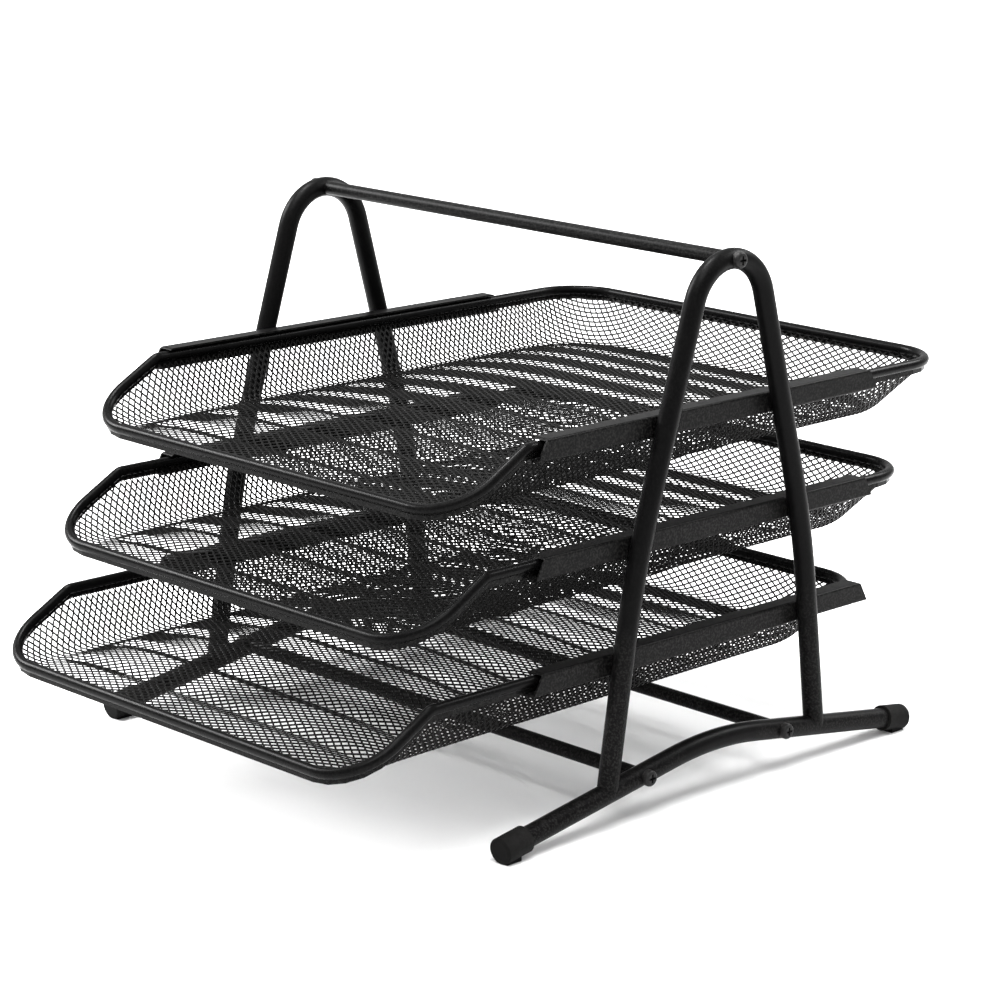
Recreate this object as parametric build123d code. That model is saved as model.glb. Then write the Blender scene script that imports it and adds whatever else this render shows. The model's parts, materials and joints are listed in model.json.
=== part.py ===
"""Three-tier sliding letter tray: a tubular stand with six channel rails and three mesh trays.

Millimetres. +X is to the right of the user, +Y to the rear and +Z up. The stand is drawn about its own
middle plane and then moved so that the origin is under the middle of the whole object, at table level.
"""
from build123d import *
from math import asin, atan2, cos, pi, sin, sqrt, tan
import os

# Stand tubes
tube_diameter = 10.0
tube_wall = 1.2
hoop_height = 257.5          # centreline at the top of the hoop, above the table
hoop_top_radius = 25.0
knee_height = 118.4          # where each leg starts to lean in more
knee_reach = 59.7            # knee to the hoop's middle plane
knee_radius = 450.0
leg_reach = 74.2             # foot of each leg to the hoop's middle plane
foot_reach = 141.0           # end of the foot tube to the hoop's middle plane
foot_end_height = 6.3        # centreline at the end of the foot tube
foot_rise = 22.2             # straight halves of the foot tube would meet this much higher
foot_bend_radius = 190.0

# Rubber end caps
cap_wall = 1.4
cap_length = 16.0
cap_end_thickness = 3.0
cap_edge_radius = 1.4
pad_width = 7.0
pad_length = 9.0
pad_set_back = 2.0           # from the closed end of the cap

# Crossbars, their threaded plugs and screws
bar_diameter = 7.0
bar_wall = 0.9
front_bar_reach = 51.5
rear_bar_reach = 46.5
plug_length = 12.0
screw_diameter = 3.8
screw_hole_clearance = 0.2   # on the radius, in the tube walls
screw_engagement = 9.0       # thread inside the plug
head_diameter = 7.8
head_height = 2.7
head_edge_radius = 1.6
head_seat_depth = 0.9        # head bears on the round tube this deep
recess_width = 1.1
recess_span = 4.4
recess_depth = 1.5

# Rails
rail_length = 237.0          # along the lower edge
rail_end_slant = 6.0         # upper edge shorter than the lower one by this at each end
rail_end_radius = 2.5
rail_sheet = 0.9
rail_fold_radius = 1.3
top_flange_overhang = 0.1      # upper flange past the inner side of the rim wire
bottom_flange_overhang = 0.4   # lower flange past the inner side of the hem band
weld_bite = 0.2              # rail web melts this deep into the leg

# Trays
tray_width = 257.6           # between the rim wire's centrelines
tray_depth = 345.0
rim_wire_diameter = 5.2
rim_corner_radius = 27.0
rim_fold_radius = 7.0
front_dip = 24.5             # rim is this much lower along the front edge
front_slope_length = 44.0    # front edge back to the fold in the rim
hem_thickness = 1.0
hem_drop = 2.3               # below the underside of the rim wire
hem_grip = 0.5               # top of the hem band above the underside of the wire
front_lip = 0.4              # floor's front edge below the underside of the rim wire there
floor_rear_depth = 25.3      # rear rim's centreline to the underside of the floor's rear edge
floor_crown = 9.2            # middle of the floor above its edges
floor_crown_power = 2.5      # 2 would be a parabola; more keeps the middle flatter
floor_inset = 13.6           # basket floor edge inside the rim centreline, sides and rear
floor_front_inset = 1.6
floor_front_corner_radius = 26.0
floor_rear_corner_radius = 40.0
mesh_thickness = 1.1
mesh_wall_gap = 0.6          # outside of the mesh wall to the centre of the hem band

# How the trays sit in the rails
rim_side_gap = 2.4           # wire to rail web
rim_top_gap = 0.7            # wire to upper flange
hem_bottom_gap = 0.3         # hem band to lower flange
fold_to_rail_gap = 1.6       # fold in the rim to the front of the rail, with the tray pushed in
tier_rim_heights = {"top": 185.0, "middle": 131.0, "bottom": 77.0}
tiers_pulled_out = {"top": 0.0, "middle": 24.0, "bottom": 56.6}

arc_steps = 5                # stations of the hem band and basket round each corner
crown_rings = (1.0, 0.87, 0.7, 0.5, 0.3)   # facets of the crowned floor, as shares of its outline

tube_radius = tube_diameter / 2
wire_radius = rim_wire_diameter / 2
rim_x = tray_width / 2
rim_front = -tray_depth / 2
rim_rear = tray_depth / 2
fold_y = rim_front + front_slope_length
floor_x = rim_x - floor_inset
floor_front = rim_front + floor_front_inset
floor_rear = rim_rear - floor_inset
side_x = rim_x + wire_radius + rim_side_gap + rail_sheet - weld_bite + tube_radius
rail_top_flange = rail_sheet + rim_side_gap + rim_wire_diameter + top_flange_overhang
rail_bottom_flange = rail_sheet + rim_side_gap + wire_radius + hem_thickness / 2 + bottom_flange_overhang
pushed_in = -rail_length / 2 - fold_to_rail_gap - fold_y
tray_positions = {tier: pushed_in - pulled for tier, pulled in tiers_pulled_out.items()}
foot_apex_height = foot_end_height + foot_rise
bars = {
    "top_crossbar": (0.0, hoop_height),
    "front_lower_crossbar": (-front_bar_reach, None),
    "rear_lower_crossbar": (rear_bar_reach, None),
}
front_end = min(tray_positions.values()) + rim_front - wire_radius
rear_end = max(max(tray_positions.values()) + rim_rear + wire_radius, foot_reach + cap_end_thickness)
to_row_frame = Location((0, -(front_end + rear_end) / 2, 0))


def foot_height(y):
    """Centreline height of the foot tube: two straight arms and the wide bend between them."""
    slope = atan2(foot_rise, foot_reach)
    bend_half_width = foot_bend_radius * sin(slope)
    if abs(y) >= bend_half_width:
        return foot_apex_height - abs(y) * tan(slope)
    bend_centre = foot_apex_height - foot_bend_radius / cos(slope)
    return bend_centre + sqrt(foot_bend_radius**2 - y**2)


def bar_height(name):
    y, height = bars[name]
    return foot_height(y) if height is None else height


def swept_tube(path, radius, wall=None):
    """Round tube along a path, or a solid rod where no wall is given."""
    ring = Circle(radius) if wall is None else Circle(radius) - Circle(radius - wall)
    start = Plane(origin=path @ 0, z_dir=path % 0)
    return sweep(start * ring, path=path)


def foot_path(side):
    x = side * side_x
    points = [(x, -foot_reach, foot_end_height), (x, 0, foot_apex_height), (x, foot_reach, foot_end_height)]
    return FilletPolyline(*points, radius=foot_bend_radius)


def hoop_path(side):
    """Up the front leg, round the top and down the rear leg, tangent to the top radius."""
    x = side * side_x
    rise = hoop_height - hoop_top_radius - knee_height
    lean = atan2(knee_reach, rise) - asin(hoop_top_radius / sqrt(knee_reach**2 + rise**2))
    apex = knee_height + knee_reach / tan(lean)
    leg_end = foot_height(leg_reach)
    points = [
        (x, -leg_reach, leg_end),
        (x, -knee_reach, knee_height),
        (x, 0, apex),
        (x, knee_reach, knee_height),
        (x, leg_reach, leg_end),
    ]
    return FilletPolyline(*points, radius=[knee_radius, hoop_top_radius, knee_radius])


def cross_cylinder(y, z, radius, x_from, x_to):
    """Cylinder along X between two places."""
    start = Plane(origin=(x_from, y, z), x_dir=(0, 1, 0), z_dir=(1, 0, 0))
    return extrude(start * Circle(radius), amount=x_to - x_from)


def screw_hole(name):
    """Clearance hole right across both side frames at one crossbar."""
    y, z = bars[name][0], bar_height(name)
    reach = side_x + tube_diameter
    return cross_cylinder(y, z, screw_diameter / 2 + screw_hole_clearance, -reach, reach)


def foot_tube(side):
    tube = swept_tube(foot_path(side), tube_radius, tube_wall)
    return tube - screw_hole("front_lower_crossbar") - screw_hole("rear_lower_crossbar")


def hoop(side):
    """Side hoop, its leg ends coped to sit on the foot tube."""
    tube = swept_tube(hoop_path(side), tube_radius, tube_wall) - screw_hole("top_crossbar")
    return tube - swept_tube(foot_path(side), tube_radius)


def end_cap(side, end):
    """Moulded cap pushed over the foot tube, with a small flat pad that stands on the table."""
    slope = atan2(foot_rise, foot_reach)
    outward = Vector(0, end * cos(slope), -sin(slope))
    tip = Vector(side * side_x, end * foot_reach, foot_end_height)
    closed_end = Plane(origin=tip + outward * cap_end_thickness, x_dir=(1, 0, 0), z_dir=-outward)
    body = extrude(closed_end * Circle(tube_radius + cap_wall), amount=cap_length)
    rim = body.edges().filter_by(GeomType.CIRCLE).sort_by(lambda e: e.center().Y * end)[-1]
    body = fillet(rim, cap_edge_radius)
    pad_y = end * (foot_reach + cap_end_thickness - pad_set_back - pad_length / 2)
    pad = Location((tip.X, pad_y, foot_end_height / 2)) * Box(pad_width, pad_length, foot_end_height)
    body = body + pad
    tube_end = Plane(origin=tip, x_dir=(1, 0, 0), z_dir=-outward)
    bore = extrude(tube_end * Circle(tube_radius), amount=cap_length)
    below_table = Box(4 * tube_diameter, 8 * tube_diameter, 2 * tube_diameter)
    return body - bore - Location((tip.X, tip.Y, -tube_diameter)) * below_table


def side_rods(name):
    """Solid outer shapes of the two tubes that a crossbar butts against."""
    path = hoop_path if name == "top_crossbar" else foot_path
    return [swept_tube(path(side), tube_radius) for side in (-1, 1)]


def crossbar(name):
    """Tube with both ends coped to the side frames."""
    y, z = bars[name][0], bar_height(name)
    bar = cross_cylinder(y, z, bar_diameter / 2, -side_x, side_x)
    bar -= cross_cylinder(y, z, bar_diameter / 2 - bar_wall, -side_x, side_x)
    for rod in side_rods(name):
        bar -= rod
    return bar


def threaded_plug(name, side):
    y, z = bars[name][0], bar_height(name)
    outer = side * (side_x - tube_radius)
    inner = outer - side * plug_length
    low, high = min(outer, inner), max(outer, inner)
    plug = cross_cylinder(y, z, bar_diameter / 2 - bar_wall, low, high)
    return plug - cross_cylinder(y, z, screw_diameter / 2, low, high)


def crossbar_screw(name, side, rod):
    """Pan head screw with a cross recess, through the side tube and into the plug."""
    y, z = bars[name][0], bar_height(name)
    seat = side_x + tube_radius - head_seat_depth
    tip = side_x - tube_radius - screw_engagement
    head = cross_cylinder(y, z, head_diameter / 2, seat, seat + head_height + head_seat_depth)
    crown = head.edges().filter_by(GeomType.CIRCLE).sort_by(Axis.X)[-1]
    head = fillet(crown, head_edge_radius)
    top = seat + head_height + head_seat_depth
    for size in ((recess_span, recess_width), (recess_width, recess_span)):
        head -= Location((top, y, z)) * Box(2 * recess_depth, *size)
    if side < 0:
        head = mirror(head, about=Plane.YZ)
    head -= rod
    ends = sorted((side * tip, side * (top - recess_depth - screw_diameter / 4)))
    return head + cross_cylinder(y, z, screw_diameter / 2, *ends)


def rail(side, rim_height):
    """Folded channel, open towards the tray, with slanted ends."""
    outer = side_x - tube_radius + weld_bite
    top = rim_height + wire_radius + rim_top_gap + rail_sheet
    bottom = rim_height - wire_radius - hem_drop - hem_bottom_gap - rail_sheet
    section = Polyline(
        (outer, bottom),
        (outer, top),
        (outer - rail_top_flange, top),
        (outer - rail_top_flange, top - rail_sheet),
        (outer - rail_sheet, top - rail_sheet),
        (outer - rail_sheet, bottom + rail_sheet),
        (outer - rail_bottom_flange, bottom + rail_sheet),
        (outer - rail_bottom_flange, bottom),
        close=True,
    )
    half = rail_length / 2
    channel = extrude(Plane.XZ * make_face(section), amount=half, both=True)
    folds = channel.edges().filter_by(Axis.Y).sort_by(Axis.X)[-2:]
    channel = fillet(folds, rail_fold_radius)
    upper_half = half - rail_end_slant
    corners = [(-half, bottom), (half, bottom), (upper_half, top), (-upper_half, top)]
    outline = Polyline(*corners, close=True)
    slanted = extrude(Plane.YZ * make_face(outline), amount=2 * side_x)
    upper_corners = slanted.edges().filter_by(Axis.X).sort_by(Axis.Z)[-2:]
    channel = channel & fillet(upper_corners, rail_end_radius)
    return channel if side > 0 else mirror(channel, about=Plane.YZ)


def rim_path(drop=0.0):
    """Closed rim line: a rounded rectangle folded down towards its front edge."""
    points = [
        (rim_x, fold_y, -drop),
        (rim_x, rim_rear, -drop),
        (-rim_x, rim_rear, -drop),
        (-rim_x, fold_y, -drop),
        (-rim_x, rim_front, -front_dip - drop),
        (rim_x, rim_front, -front_dip - drop),
    ]
    radii = [rim_fold_radius, rim_corner_radius, rim_corner_radius, rim_fold_radius]
    radii += [rim_corner_radius, rim_corner_radius]
    return FilletPolyline(*points, radius=radii, close=True)


def rim_wire():
    return swept_tube(rim_path(), wire_radius)


def ruled_ring(sections):
    """Solid band through matching four-cornered slices on the right half, mirrored to the left."""
    faces = [make_face(Polyline(*corners, close=True)) for corners in sections]
    right = loft(faces, ruled=True)
    return right + mirror(right, about=Plane.YZ)


def rim_stations():
    """Points along the right half of the rim, front to rear, each with its unit inward direction."""
    arcs = [edge for edge in rim_path().edges().filter_by(GeomType.CIRCLE) if edge.center().X > 0]
    stations = [(Vector(0, rim_front, -front_dip), Vector(0, 1, 0))]
    for arc in sorted(arcs, key=lambda edge: edge.center().Y):
        backwards = (arc @ 0).Y > (arc @ 1).Y
        for step in range(arc_steps + 1):
            place = 1 - step / arc_steps if backwards else step / arc_steps
            along = -(arc % place) if backwards else arc % place
            stations.append((arc @ place, Vector(-along.Y, along.X, 0).normalized()))
    stations.append((Vector(0, rim_rear, 0), Vector(0, -1, 0)))
    return stations


def hem_band():
    """Flat strip welded under the rim wire, standing upright all the way round."""
    sections = []
    for point, inward in rim_stations():
        inner = point + inward * (hem_thickness / 2)
        outer = point - inward * (hem_thickness / 2)
        top = Vector(0, 0, hem_grip - wire_radius)
        bottom = Vector(0, 0, -wire_radius - hem_drop)
        sections.append([inner + top, inner + bottom, outer + bottom, outer + top])
    return ruled_ring(sections)


def floor_edge_height(y):
    """Underside of the floor's edge, which climbs evenly from front to rear."""
    share = (y - floor_front) / (floor_rear - floor_front)
    front_depth = front_dip + wire_radius + front_lip
    return -front_depth * (1 - share) - floor_rear_depth * share


def floor_stations():
    """Floor edge points that match the rim stations one for one."""
    turns = [pi / 2 * step / arc_steps for step in range(arc_steps + 1)]
    points = [(0, floor_front)]
    bend = floor_front_corner_radius
    points += [(floor_x - bend + bend * sin(turn), floor_front + bend - bend * cos(turn)) for turn in turns]
    rim = [point for point, inward in rim_stations()]
    points += [(floor_x, point.Y) for point in rim[2 + arc_steps : 3 + 2 * arc_steps]]
    bend = floor_rear_corner_radius
    points += [(floor_x - bend + bend * cos(turn), floor_rear - bend + bend * sin(turn)) for turn in turns]
    points.append((0, floor_rear))
    return [Vector(x, y, floor_edge_height(y)) for x, y in points]


def mesh_wall():
    """Sloping wall from the hem band in and down to the floor edge."""
    sections = []
    for (point, inward), foot in zip(rim_stations(), floor_stations()):
        top = point + inward * mesh_wall_gap - Vector(0, 0, wire_radius)
        step = inward * mesh_thickness
        sections.append([top + step, foot + step, foot, top])
    return ruled_ring(sections)


def crowned_outline(share, height):
    """Loop of points round the floor at a share of the way from its middle out to its edge."""
    middle_y = (floor_front + floor_rear) / 2
    middle = Vector(0, middle_y, floor_edge_height(middle_y))
    flat_share = crown_rings[-1] ** floor_crown_power
    rise = floor_crown * (1 - share**floor_crown_power) / (1 - flat_share)
    lift = Vector(0, 0, rise + height)
    right = [middle + (edge - middle) * share + lift for edge in floor_stations()]
    return right + [Vector(-point.X, point.Y, point.Z) for point in reversed(right[1:-1])]


def facets_between(loop, other):
    """Flat four-cornered faces between two loops of points."""
    following = loop[1:] + loop[:1], other[1:] + other[:1]
    return [Face(Wire.make_polygon(corners)) for corners in zip(loop, following[0], following[1], other)]


def crowned_floor():
    """Floor sheet of flat facets that rises from its edge to a level middle."""
    under = [crowned_outline(share, 0) for share in crown_rings]
    upper = [crowned_outline(share, mesh_thickness) for share in crown_rings]
    faces = facets_between(under[0], upper[0])
    for surface in (under, upper):
        for outer, inner in zip(surface, surface[1:]):
            faces += facets_between(outer, inner)
        faces.append(Face(Wire.make_polygon(surface[-1])))
    return Solid(Shell(faces))


def mesh_basket():
    """Pressed mesh tray drawn as a plain sheet: crowned floor and sloping walls."""
    return mesh_wall() + crowned_floor()


def name_side(side):
    return "left" if side < 0 else "right"


def stand_nodes():
    nodes = {}
    for side in (-1, 1):
        nodes[f"{name_side(side)}_hoop"] = hoop(side)
        nodes[f"{name_side(side)}_foot_tube"] = foot_tube(side)
        for end, place in ((-1, "front"), (1, "rear")):
            nodes[f"{name_side(side)}_{place}_end_cap"] = end_cap(side, end)
        for tier, height in tier_rim_heights.items():
            nodes[f"{tier}_{name_side(side)}_rail"] = rail(side, height)
    nodes["threaded_plugs"] = Part()
    nodes["crossbar_screws"] = Part()
    for name in bars:
        nodes[name] = crossbar(name)
        for side, rod in zip((-1, 1), side_rods(name)):
            nodes["threaded_plugs"] += threaded_plug(name, side)
            nodes["crossbar_screws"] += crossbar_screw(name, side, rod)
    return nodes


def tray_nodes():
    pieces = {"rim_wire": rim_wire(), "hem_band": hem_band(), "mesh_basket": mesh_basket()}
    nodes = {}
    for tier, height in tier_rim_heights.items():
        for piece, shape in pieces.items():
            nodes[f"{tier}_tray_{piece}"] = Location((0, tray_positions[tier], height)) * shape
    return nodes


os.makedirs("parts", exist_ok=True)
for node, shape in {**stand_nodes(), **tray_nodes()}.items():
    export_step(to_row_frame * shape, f"parts/{node}.step")
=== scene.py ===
"""Looks of the sliding letter tray: expanded metal, powder coat, rubber caps, camera and light."""
import json
from math import atan2, cos, hypot, pi, radians, sin, sqrt, tan

import bmesh
import bpy
from mathutils import Matrix, Vector


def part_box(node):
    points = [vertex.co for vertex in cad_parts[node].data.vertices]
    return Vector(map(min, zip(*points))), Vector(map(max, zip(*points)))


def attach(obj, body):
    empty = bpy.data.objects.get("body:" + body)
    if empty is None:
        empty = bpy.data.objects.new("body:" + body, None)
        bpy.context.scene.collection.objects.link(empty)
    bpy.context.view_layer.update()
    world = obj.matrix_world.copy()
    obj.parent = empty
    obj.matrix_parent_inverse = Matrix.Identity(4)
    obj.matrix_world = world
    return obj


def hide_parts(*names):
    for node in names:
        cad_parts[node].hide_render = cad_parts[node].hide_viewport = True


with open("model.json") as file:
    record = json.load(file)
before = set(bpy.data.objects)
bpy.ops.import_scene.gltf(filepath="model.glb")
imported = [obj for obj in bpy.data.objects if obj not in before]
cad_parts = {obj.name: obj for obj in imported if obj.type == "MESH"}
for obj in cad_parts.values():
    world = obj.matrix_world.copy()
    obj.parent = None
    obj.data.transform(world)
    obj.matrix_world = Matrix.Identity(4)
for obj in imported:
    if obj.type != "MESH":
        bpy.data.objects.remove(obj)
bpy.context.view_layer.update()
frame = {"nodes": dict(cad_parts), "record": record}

TIERS = ("top", "middle", "bottom")

# Tray sections, as in the frame's own trays
WIRE_RADIUS = 0.0026
RIM_CORNER_RADIUS = 0.027
FRONT_DIP = 0.0245
FRONT_SLOPE_LENGTH = 0.044
FLOOR_FRONT_DEPTH = 0.02685
FLOOR_REAR_DEPTH = 0.02475
FLOOR_INSET = 0.0141
FLOOR_FRONT_INSET = 0.0016
FLOOR_FRONT_CORNER_RADIUS = 0.026
FLOOR_REAR_CORNER_RADIUS = 0.040
FLOOR_CROWN = 0.0092
CROWN_POWER = 2.5
CROWN_SQUARENESS = 7.5
CROWN_SOFTNESS = 0.08
FOLD_REACH = 0.0050
FOLD_SHARE = 0.45
LEAST_WALL_RISE = 0.0001
HEM_INSET = 0.0012

# Pressed grooves
GROOVE_COUNT = 10
GROOVE_PITCH = 0.0302
GROOVE_WIDTH = 0.014
GROOVE_DEPTH = 0.0017
GROOVE_HALF_LENGTH = 0.105
GROOVE_RUN_OUT = 0.007
FIRST_GROOVE = 0.029

# Expanded metal
DIAMOND_LENGTH = 0.0060
DIAMOND_WIDTH = 0.0035
STRAND_HALF_WIDTH = 0.00035
KNOT_PULL = 0.00030
STRAND_THICKNESS = 0.00045
STRAND_TILT = 0.00008
SHEET_SPARE = 0.050
NUDGE = 0.00005

# Camera and studio
CAMERA_AZIMUTH = radians(44.9)
CAMERA_ELEVATION = radians(14.35)
CAMERA_ROLL = radians(0.9)
CAMERA_DISTANCE = 1.5684
CAMERA_TARGET = Vector((-0.0023, 0.0154, 0.1171))
CAMERA_LENS = 113.4
FLOOR_HALF_SIZE = 6.0
SURROUND_STRENGTH = 0.85
OVERHEAD_STRENGTH = 2.9
COAT_SPECULAR = 0.045
RUBBER_SPECULAR = 0.06
ZINC_SPECULAR = 0.12
DUST_COVER = 0.08
DUST_COLOUR = (0.014, 0.0137, 0.0132)
WEAR_COVER = 0.25
WEAR_COLOUR = (0.045, 0.044, 0.042)
LIT_POINT = (0, 0, 0.12)
OVERHEAD_DIRECTION = (0.15, -0.35, 1.0)
OVERHEAD_SPREAD = radians(40)
SOFTBOXES = {
    "top_softbox": ((-0.45, 0.05, 1.7), (0.4, 0.4), 30),
    "side_softbox": ((-1.6, -0.7, 1.2), (0.5, 0.8), 60),
    "rear_softbox": ((0.4, 1.7, 1.5), (0.9, 0.5), 30),
}


# ---------------------------------------------------------------- materials


class Value:
    """A number in a shader tree. Arithmetic on it adds Math nodes."""

    def __init__(self, nodes, socket):
        self.nodes = nodes
        self.socket = socket

    def _math(self, operation, first, second=None):
        values = [first] if second is None else [first, second]
        return self.nodes.add("ShaderNodeMath", {"operation": operation}, dict(enumerate(values)))

    def __add__(self, other):
        return self._math("ADD", self, other)

    def __radd__(self, other):
        return self._math("ADD", other, self)

    def __sub__(self, other):
        return self._math("SUBTRACT", self, other)

    def __rsub__(self, other):
        return self._math("SUBTRACT", other, self)

    def __mul__(self, other):
        return self._math("MULTIPLY", self, other)

    def __rmul__(self, other):
        return self._math("MULTIPLY", other, self)


class Shader:
    """One node material, with every node added through add()."""

    def __init__(self, name):
        self.material = bpy.data.materials.new(name)
        self.material.use_nodes = True
        self.tree = self.material.node_tree
        self.surface = self.tree.nodes["Principled BSDF"]

    def add(self, kind, settings=None, inputs=None, output=0):
        """Adds a node: its settings, then its inputs' values or links, and returns one output."""
        node = self.tree.nodes.new(kind)
        for key, value in (settings or {}).items():
            if key == "stops":
                self._stops(node, value)
            else:
                setattr(node, key, value)
        for key, value in (inputs or {}).items():
            self.feed(node.inputs[key], value)
        return Value(self, node.outputs[output])

    def _stops(self, node, stops):
        elements = node.color_ramp.elements
        while len(elements) < len(stops):
            elements.new(0.5)
        for element, (place, shade) in zip(elements, stops):
            element.position = place
            element.color = (shade, shade, shade, 1)

    def feed(self, socket, value):
        if isinstance(value, Value):
            self.tree.links.new(value.socket, socket)
        else:
            socket.default_value = value

    def set(self, **inputs):
        for key, value in inputs.items():
            self.feed(self.surface.inputs[key.replace("_", " ")], value)
        return self

    def place(self):
        return self.add("ShaderNodeTexCoord", output=3)

    def noise(self, scale, detail=3.0, roughness=0.5):
        inputs = {"Vector": self.place(), "Scale": scale, "Detail": detail, "Roughness": roughness}
        return self.add("ShaderNodeTexNoise", inputs=inputs)

    def ramp(self, value, *stops):
        return self.add("ShaderNodeValToRGB", {"stops": stops}, {0: value})

    def blend(self, factor, first, second):
        inputs = {0: factor, 6: (*first, 1) if isinstance(first, tuple) else first}
        inputs[7] = (*second, 1) if isinstance(second, tuple) else second
        return self.add("ShaderNodeMix", {"data_type": "RGBA"}, inputs, output=2)

    def bump(self, height, strength, distance):
        inputs = {"Strength": strength, "Distance": distance, "Height": height}
        return self.add("ShaderNodeBump", inputs=inputs)

    def edges(self):
        """How sharply convex the surface is: 0 on flats and 1 on worn edges."""
        pointiness = self.add("ShaderNodeNewGeometry", output=7)
        return self.ramp(pointiness, (0.50, 0.0), (0.60, 1.0))


def powder_coat(name, dark, light, roughness, peel=0.25):
    """Satin black powder coat: orange peel, faint cloudiness, dust in places and paler edges."""
    shader = Shader(name)
    clouds = shader.noise(26, 4, 0.6)
    dust = shader.ramp(shader.noise(210, 5, 0.65), (0.50, 0.0), (0.78, 1.0))
    wear = shader.edges() * shader.ramp(shader.noise(900, 3, 0.6), (0.46, 0.0), (0.62, 1.0))
    coat = shader.blend(clouds, dark, light)
    coat = shader.blend(dust * DUST_COVER, coat, DUST_COLOUR)
    coat = shader.blend(wear * WEAR_COVER, coat, WEAR_COLOUR)
    skin = shader.noise(2600, 2, 0.5)
    speck = shader.noise(700, 3, 0.6)
    height = skin * 0.7 + speck * 0.5
    shader.set(
        Base_Color=coat,
        Roughness=roughness + (clouds - 0.5) * 0.10 + dust * 0.10 + wear * 0.05,
        Normal=shader.bump(height, peel, 0.00012),
    )
    shader.surface.inputs["Specular IOR Level"].default_value = COAT_SPECULAR
    return shader.material


def moulded_rubber(name):
    """Matt black rubber with a fine moulded grain and chalky bloom."""
    shader = Shader(name)
    bloom = shader.noise(60, 5, 0.65)
    grain = shader.add("ShaderNodeTexVoronoi", {}, {"Vector": shader.place(), "Scale": 2200.0})
    scuff = shader.edges() * shader.noise(500, 3)
    colour = shader.blend(bloom, (0.0020, 0.0020, 0.0020), (0.0055, 0.0055, 0.0053))
    colour = shader.blend(scuff * 0.4, colour, (0.030, 0.029, 0.028))
    shader.set(
        Base_Color=colour,
        Roughness=0.62 + bloom * 0.16,
        Normal=shader.bump(grain + bloom * 0.4, 0.35, 0.00010),
    )
    shader.surface.inputs["Specular IOR Level"].default_value = RUBBER_SPECULAR
    return shader.material


def black_zinc(name):
    """Black-plated screw: thin satin plating, brighter where a driver has rubbed it."""
    shader = Shader(name)
    clouds = shader.noise(300, 4, 0.6)
    rub = shader.edges() * shader.noise(1500, 3)
    colour = shader.blend(clouds, (0.006, 0.006, 0.0065), (0.014, 0.0137, 0.0135))
    colour = shader.blend(rub * 0.5, colour, (0.12, 0.117, 0.114))
    shader.set(
        Base_Color=colour,
        Metallic=0.35 + rub * 0.4,
        Roughness=0.36 + clouds * 0.14,
        Normal=shader.bump(shader.noise(2400, 2), 0.2, 0.00008),
    )
    shader.surface.inputs["Specular IOR Level"].default_value = ZINC_SPECULAR
    return shader.material


def turned_steel(name):
    """Plain turned plug: fine rings and a little oil staining."""
    shader = Shader(name)
    stain = shader.noise(240, 4, 0.6)
    bands = {"wave_type": "BANDS", "bands_direction": "X"}
    rings = shader.add("ShaderNodeTexWave", bands, {"Vector": shader.place(), "Scale": 900.0}, 1)
    colour = shader.blend(stain, (0.38, 0.37, 0.36), (0.56, 0.55, 0.54))
    shader.set(Base_Color=colour, Roughness=0.28 + stain * 0.2, Normal=shader.bump(rings, 0.2, 0.00006))
    shader.surface.inputs["Metallic"].default_value = 1.0
    return shader.material


def studio_paper(name):
    """Seamless pale backdrop paper with a faint tooth."""
    shader = Shader(name)
    tooth = shader.noise(900, 3, 0.6)
    shader.set(
        Base_Color=shader.blend(tooth, (0.93, 0.93, 0.93), (0.95, 0.95, 0.95)),
        Roughness=0.85 + tooth * 0.1,
        Normal=shader.bump(tooth, 0.05, 0.0002),
    )
    return shader.material


COATS = {
    "stand_powder_coat": ("stand powder coat", (0.0012, 0.0012, 0.0013), (0.0026, 0.0025, 0.0026), 0.36),
    "tray_powder_coat": ("tray rim powder coat", (0.0012, 0.0012, 0.0013), (0.0026, 0.0025, 0.0025), 0.27),
    "mesh_powder_coat": ("mesh powder coat", (0.0013, 0.0013, 0.0014), (0.0032, 0.0031, 0.0030), 0.40),
}
MATERIALS = {slot: powder_coat(*recipe) for slot, recipe in COATS.items()}
MATERIALS["end_cap_rubber"] = moulded_rubber("end cap rubber")
MATERIALS["screw_black_zinc"] = black_zinc("black zinc plating")
MATERIALS["plug_steel"] = turned_steel("turned plug steel")
MATERIALS["studio_paper"] = studio_paper("studio paper")


def finish_cad_nodes():
    """Gives every CAD piece the finish of its record slot."""
    slots = {part["node"]: part["material_slot"] for part in frame["record"]["subparts"]}
    for name, piece in frame["nodes"].items():
        piece.data.materials.clear()
        piece.data.materials.append(MATERIALS[slots[name]])


# ---------------------------------------------------------------- trays


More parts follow.
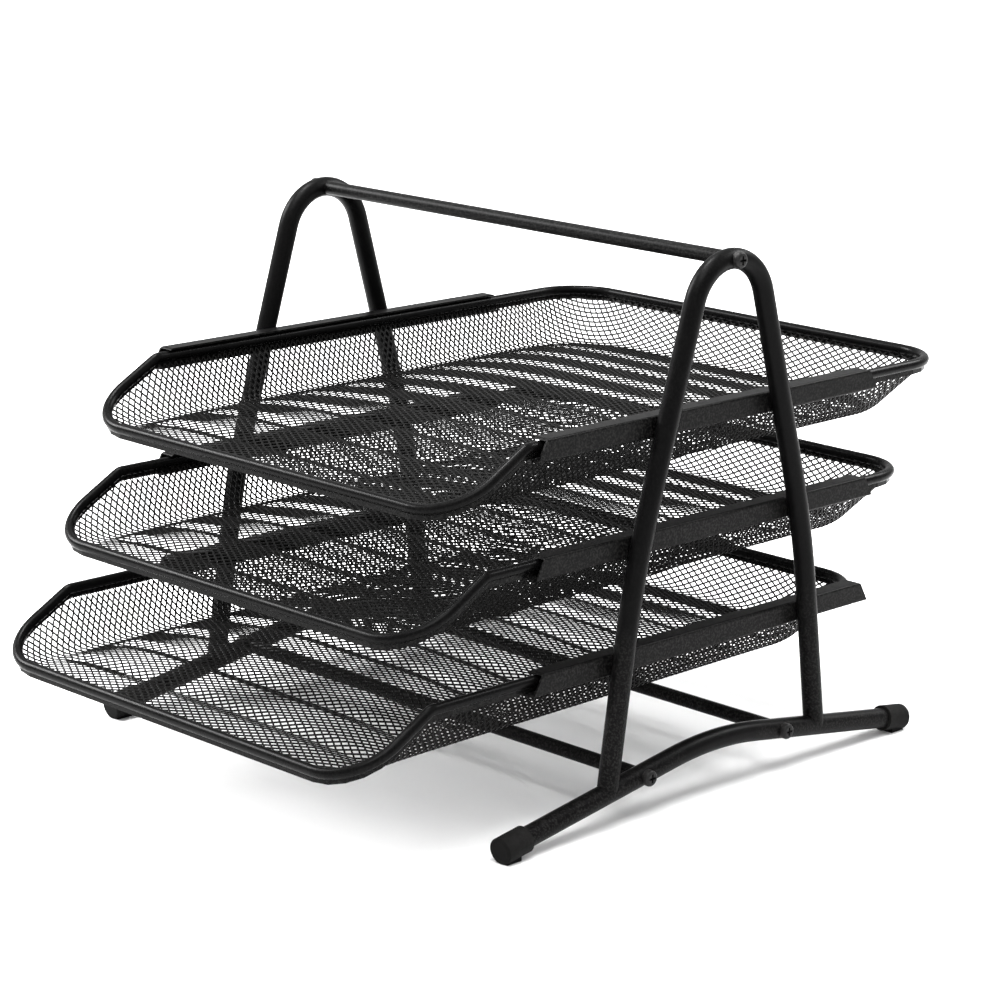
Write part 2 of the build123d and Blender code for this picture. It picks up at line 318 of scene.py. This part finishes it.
class Tray:
    """Plan and section of one tray, read from its rim wire's box."""

    def __init__(self, tier):
        low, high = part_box(f"{tier}_tray_rim_wire")
        self.tier = tier
        self.rim_x = (high[0] - low[0]) / 2 - WIRE_RADIUS
        self.rim_rear = high[1] - WIRE_RADIUS
        self.rim_front = low[1] + WIRE_RADIUS
        self.rim_z = high[2] - WIRE_RADIUS
        self.fold_y = self.rim_front + FRONT_SLOPE_LENGTH
        self.slope = atan2(FRONT_DIP, FRONT_SLOPE_LENGTH)
        self.floor_x = self.rim_x - FLOOR_INSET
        self.floor_front = self.rim_front + FLOOR_FRONT_INSET
        self.floor_rear = self.rim_rear - FLOOR_INSET
        self.middle_y = (self.floor_front + self.floor_rear) / 2

    def groove(self, x, y):
        """Height of the floor below its crown: a shallow V that fades out at both ends."""
        number = round((y - self.rim_front - FIRST_GROOVE) / GROOVE_PITCH)
        if not 0 <= number < GROOVE_COUNT:
            return 0.0
        across = abs(y - self.rim_front - FIRST_GROOVE - number * GROOVE_PITCH) / (GROOVE_WIDTH / 2)
        along = (GROOVE_HALF_LENGTH - abs(x)) / GROOVE_RUN_OUT
        return -GROOVE_DEPTH * max(0.0, min(1 - across, along))

    def crown(self, x, y):
        """Height of the floor above its edges: flat in the middle and fading out softly at the edge."""
        across = abs(x) / self.floor_x
        along = abs(y - self.middle_y) / (self.floor_rear - self.middle_y)
        outward = (across**CROWN_SQUARENESS + along**CROWN_SQUARENESS) ** (1 / CROWN_SQUARENESS)
        climb = 1 - outward**CROWN_POWER
        return FLOOR_CROWN * (climb + hypot(climb, CROWN_SOFTNESS)) / 2

    def edge_height(self, y):
        share = (y - self.floor_front) / (self.floor_rear - self.floor_front)
        return self.rim_z - FLOOR_FRONT_DEPTH * (1 - share) - FLOOR_REAR_DEPTH * share

    def rim_height(self, y):
        return self.rim_z - WIRE_RADIUS - FRONT_DIP * max(0.0, (self.fold_y - y) / FRONT_SLOPE_LENGTH)

    def holds(self, face):
        """Whether a flat diamond lies on the part of the sheet that the basket uses."""
        centre = face.calc_center_median()
        return self.surface(centre.x, centre.y)[1] < 1

    def hem_reach(self, centre, reach, side, end):
        """Distance from a floor corner's centre out to the hem line, which has its own rounded corner."""
        squash = 1.0 if end > 0 else cos(self.slope)
        bend = RIM_CORNER_RADIUS - HEM_INSET
        hem_end = (self.rim_rear if end > 0 else self.rim_front) - end * HEM_INSET
        far_x = self.rim_x - HEM_INSET - side * centre.x
        far_y = end * (hem_end - centre.y)
        across, along = side * reach.x, end * reach.y
        if across > 0 and along * far_x <= across * (far_y - bend * squash):
            return far_x / across
        if along > 0 and across * far_y <= along * (far_x - bend):
            return far_y / along
        start_x, start_y = bend - far_x, (bend * squash - far_y) / squash
        along /= squash
        size = across**2 + along**2
        half = across * start_x + along * start_y
        return (-half + sqrt(half**2 - size * (start_x**2 + start_y**2 - bend**2))) / size

    def edge(self, x, y):
        """Distance outside the floor outline, its edge point and the hem point that the wall climbs to."""
        side = 1 if x >= 0 else -1
        end = 1 if y > self.middle_y else -1
        bend = FLOOR_REAR_CORNER_RADIUS if end > 0 else FLOOR_FRONT_CORNER_RADIUS
        floor_end = self.floor_rear if end > 0 else self.floor_front
        hem_end = (self.rim_rear if end > 0 else self.rim_front) - end * HEM_INSET
        centre = Vector((side * (self.floor_x - bend), floor_end - end * bend))
        across = side * (x - centre.x)
        along = end * (y - centre.y)
        if across > 0 and along > 0:
            reach = Vector((side * across, end * along)).normalized()
            hem = centre + reach * self.hem_reach(centre, reach, side, end)
            return hypot(across, along) - bend, centre + reach * bend, hem
        if across > along:
            hem_x = side * (self.rim_x - HEM_INSET)
            return across - bend, Vector((side * self.floor_x, y)), Vector((hem_x, y))
        return along - bend, Vector((x, floor_end)), Vector((x, hem_end))

    def surface(self, x, y):
        """Where a point of the flat sheet ends up on the pressed basket, and how far up the wall it is."""
        outside, foot, hem = self.edge(x, y)
        lift = self.crown(x, y) + self.groove(x, y)
        outward = Vector((hem.x - foot.x, hem.y - foot.y, 0))
        foot_z = self.edge_height(foot.y)
        rise = max(LEAST_WALL_RISE, self.rim_height(hem.y) - foot_z)
        angle = atan2(rise, outward.length)
        length = hypot(outward.length, rise)
        reach = min(FOLD_REACH, FOLD_SHARE * length)
        if outside <= -reach:
            return Vector((x, y, self.edge_height(y) + lift)), 0.0
        radius = reach / tan(angle / 2)
        turn = min(angle, (outside + reach) / radius)
        straight = max(0.0, outside + reach - radius * angle)
        forward = radius * sin(turn) + straight * cos(angle) - reach
        height = radius * (1 - cos(turn)) + straight * sin(angle)
        share = outside / (length + radius * angle - 2 * reach)
        return Vector((foot.x, foot.y, foot_z + height + lift)) + outward.normalized() * forward, share


def diamond_sheet(tray):
    """Flat expanded metal: a grid turned to diamonds, each opened by an inset, its strands tilted."""
    sheet = bmesh.new()
    middle = (tray.rim_front + tray.rim_rear) / 2
    span_x = 2 * tray.rim_x + SHEET_SPARE
    span_y = tray.rim_rear - tray.rim_front + SHEET_SPARE
    cells = round(span_x / DIAMOND_LENGTH + span_y / DIAMOND_WIDTH)
    bmesh.ops.create_grid(sheet, x_segments=cells, y_segments=cells, size=cells / 2)
    bmesh.ops.rotate(sheet, verts=sheet.verts, cent=(0, 0, 0), matrix=Matrix.Rotation(pi / 4, 3, "Z"))
    bmesh.ops.scale(sheet, verts=sheet.verts, vec=(DIAMOND_LENGTH / sqrt(2), DIAMOND_WIDTH / sqrt(2), 1))
    bmesh.ops.translate(sheet, verts=sheet.verts, vec=(0, middle, 0))
    outside = [face for face in sheet.faces if not tray.holds(face)]
    bmesh.ops.delete(sheet, geom=outside, context="FACES")
    holes = list(sheet.faces)
    centres = {face: face.calc_center_median() for face in holes}
    bmesh.ops.inset_individual(sheet, faces=holes, thickness=STRAND_HALF_WIDTH, use_even_offset=True)
    for face in holes:
        for corner in face.verts:
            from_middle = corner.co - centres[face]
            corner.co.x -= KNOT_PULL * from_middle.x / (DIAMOND_LENGTH / 2)
            corner.co.z = -STRAND_TILT * from_middle.y / (DIAMOND_WIDTH / 2)
    bmesh.ops.delete(sheet, geom=holes, context="FACES_ONLY")
    return sheet


def press(sheet, tray):
    """Presses the sheet into the basket: crowned and grooved floor, rolled folds and sloping walls."""
    for vertex in sheet.verts:
        flat = vertex.co.copy()
        here, share = tray.surface(flat.x, flat.y)
        side = tray.surface(flat.x + NUDGE, flat.y)[0] - here
        back = tray.surface(flat.x, flat.y + NUDGE)[0] - here
        vertex.co = here + side.cross(back).normalized() * flat.z


def piece_from(sheet, name, material):
    mesh = bpy.data.meshes.new(name)
    sheet.to_mesh(mesh)
    sheet.free()
    mesh.materials.append(MATERIALS[material])
    piece = bpy.data.objects.new(name, mesh)
    bpy.context.collection.objects.link(piece)
    return piece


def mesh_pieces(tray):
    """Expanded-metal floor, in a front and a rear half, and wall of one tray."""
    sheet = diamond_sheet(tray)
    names = ("floor_front", "floor_rear", "wall")
    flags = sheet.faces.layers.int.new("part")
    for face in sheet.faces:
        centre = face.calc_center_median()
        if tray.edge(centre.x, centre.y)[0] >= 0:
            face[flags] = 2
        else:
            face[flags] = int(centre.y > tray.middle_y)
    for number, name in enumerate(names):
        part = sheet.copy()
        layer = part.faces.layers.int["part"]
        bmesh.ops.delete(part, geom=[face for face in part.faces if face[layer] != number], context="FACES")
        bmesh.ops.solidify(part, geom=part.faces, thickness=STRAND_THICKNESS)
        bmesh.ops.translate(part, verts=part.verts, vec=(0, 0, -STRAND_THICKNESS / 2))
        press(part, tray)
        bmesh.ops.recalc_face_normals(part, faces=part.faces)
        piece = piece_from(part, f"{tray.tier}_mesh_{name}", "mesh_powder_coat")
        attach(piece, f"{tray.tier}_tray")
        if number == 0:
            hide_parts(f"{tray.tier}_tray_mesh_basket")
    sheet.free()


# ---------------------------------------------------------------- studio


def camera():
    """Long lens from the front right, a little above the trays."""
    data = bpy.data.cameras.new("camera")
    data.sensor_width = 36
    data.lens = CAMERA_LENS
    data.clip_end = 20
    view = bpy.data.objects.new("camera", data)
    bpy.context.collection.objects.link(view)
    back = Vector((
        sin(CAMERA_AZIMUTH) * cos(CAMERA_ELEVATION),
        -cos(CAMERA_AZIMUTH) * cos(CAMERA_ELEVATION),
        sin(CAMERA_ELEVATION),
    ))
    turn = back.to_track_quat("Z", "Y").to_matrix().to_4x4() @ Matrix.Rotation(CAMERA_ROLL, 4, "Z")
    view.matrix_world = Matrix.Translation(CAMERA_TARGET + back * CAMERA_DISTANCE) @ turn
    bpy.context.scene.camera = view


def overhead():
    """Broad even light from above that reaches the whole floor."""
    data = bpy.data.lights.new("overhead", "SUN")
    data.energy = OVERHEAD_STRENGTH
    data.angle = OVERHEAD_SPREAD
    lamp = bpy.data.objects.new("overhead", data)
    lamp.rotation_euler = Vector(OVERHEAD_DIRECTION).to_track_quat("Z", "Y").to_euler()
    bpy.context.collection.objects.link(lamp)


def softbox(name, place, size, power):
    data = bpy.data.lights.new(name, "AREA")
    data.shape = "RECTANGLE"
    data.size, data.size_y = size
    data.energy = power
    lamp = bpy.data.objects.new(name, data)
    lamp.location = place
    lamp.rotation_euler = (Vector(place) - Vector(LIT_POINT)).to_track_quat("Z", "Y").to_euler()
    bpy.context.collection.objects.link(lamp)


def studio():
    """White seamless floor, pale surround, a broad overhead light and three softboxes."""
    sheet = bmesh.new()
    bmesh.ops.create_grid(sheet, x_segments=1, y_segments=1, size=FLOOR_HALF_SIZE)
    floor = piece_from(sheet, "studio_floor", "studio_paper")
    world = bpy.data.worlds.new("pale surround")
    world.use_nodes = True
    world.node_tree.nodes["Background"].inputs["Color"].default_value = (1, 1, 1, 1)
    world.node_tree.nodes["Background"].inputs["Strength"].default_value = SURROUND_STRENGTH
    bpy.context.scene.world = world
    bpy.context.scene.view_settings.view_transform = "Standard"
    overhead()
    for name, (place, size, power) in SOFTBOXES.items():
        softbox(name, place, size, power)


finish_cad_nodes()
for tier in TIERS:
    mesh_pieces(Tray(tier))
camera()
studio()
